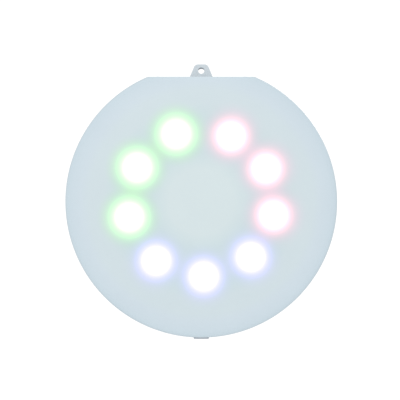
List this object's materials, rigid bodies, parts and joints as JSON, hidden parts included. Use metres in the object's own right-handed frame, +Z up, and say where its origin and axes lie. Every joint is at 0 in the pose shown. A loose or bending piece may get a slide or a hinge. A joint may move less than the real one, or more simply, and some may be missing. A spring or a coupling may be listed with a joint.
{
  "type": "underwater pool light",
  "caption": "Round surface-mounted pool light: milky diffuser over a ring of colour LEDs, hooked on a wall bracket and tilting out from a bottom hook.",
  "frame": {"origin": "on the wall, at the middle of the bracket's flat back, level with the middle of the round face", "axes": "+Z up towards the screw ear, +Y into the wall, +X to the right for someone facing the lamp"},
  "size_m": [0.27, 0.04, 0.2794],
  "materials": {
    "bracket_plastic": "moulded blue-grey ABS, satin",
    "housing_plastic": "moulded pale blue-grey ABS, satin",
    "cover_polycarbonate": "milky diffusing polycarbonate, soft gloss",
    "seal_silicone": "translucent white silicone",
    "spreader_aluminium": "milled sheet",
    "led_board_white": "white solder mask",
    "holder_white": "white moulded plastic",
    "led_package": "white LED package with clear dome",
    "lens_clear": "clear acrylic",
    "driver_board_green": "green solder mask",
    "component_black": "black epoxy package",
    "inductor_copper": "enamelled copper winding",
    "terminal_green": "green terminal housing",
    "capacitor_sleeve": "sleeved aluminium can",
    "lead_sleeve": "insulated wire",
    "gland_nylon": "black nylon",
    "gland_rubber": "black rubber",
    "screw_steel": "stainless"
  },
  "bodies": {
    "bracket": {"wall_bracket": "bracket_plastic"},
    "lamp": {"rear_housing": "housing_plastic", "front_cover": "cover_polycarbonate", "cover_gasket": "seal_silicone", "heat_spreader": "spreader_aluminium", "led_board": "led_board_white", "lens_holder": "holder_white", "led_1": "led_package", "led_2": "led_package", "led_3": "led_package", "led_4": "led_package", "led_5": "led_package", "led_6": "led_package", "led_7": "led_package", "led_8": "led_package", "led_9": "led_package", "lens_1": "lens_clear", "lens_2": "lens_clear", "lens_3": "lens_clear", "lens_4": "lens_clear", "lens_5": "lens_clear", "lens_6": "lens_clear", "lens_7": "lens_clear", "lens_8": "lens_clear", "lens_9": "lens_clear", "driver_board": "driver_board_green", "bridge_rectifier": "component_black", "controller_chip": "component_black", "inductor": "inductor_copper", "terminal_block": "terminal_green", "capacitor_1": "capacitor_sleeve", "capacitor_2": "capacitor_sleeve", "led_lead_1": "lead_sleeve", "led_lead_2": "lead_sleeve", "led_lead_3": "lead_sleeve", "led_lead_4": "lead_sleeve", "gland_body": "gland_nylon", "gland_nut": "gland_nylon", "gland_locknut": "gland_nylon", "gland_seal": "gland_rubber", "cover_screw_1": "screw_steel", "cover_screw_2": "screw_steel", "cover_screw_3": "screw_steel", "cover_screw_4": "screw_steel", "cover_screw_5": "screw_steel", "cover_screw_6": "screw_steel", "spreader_screw_1": "screw_steel", "spreader_screw_2": "screw_steel", "spreader_screw_3": "screw_steel", "spreader_screw_4": "screw_steel", "driver_screw_1": "screw_steel", "driver_screw_2": "screw_steel", "driver_screw_3": "screw_steel", "driver_screw_4": "screw_steel"}
  },
  "joints": [
    {"name": "lamp_tilt", "type": "hinge", "parent": "bracket", "child": "lamp", "pos_m": [0, -0.013, -0.134], "axis": [1, 0, 0], "range_deg": [0, 30]}
  ]
}
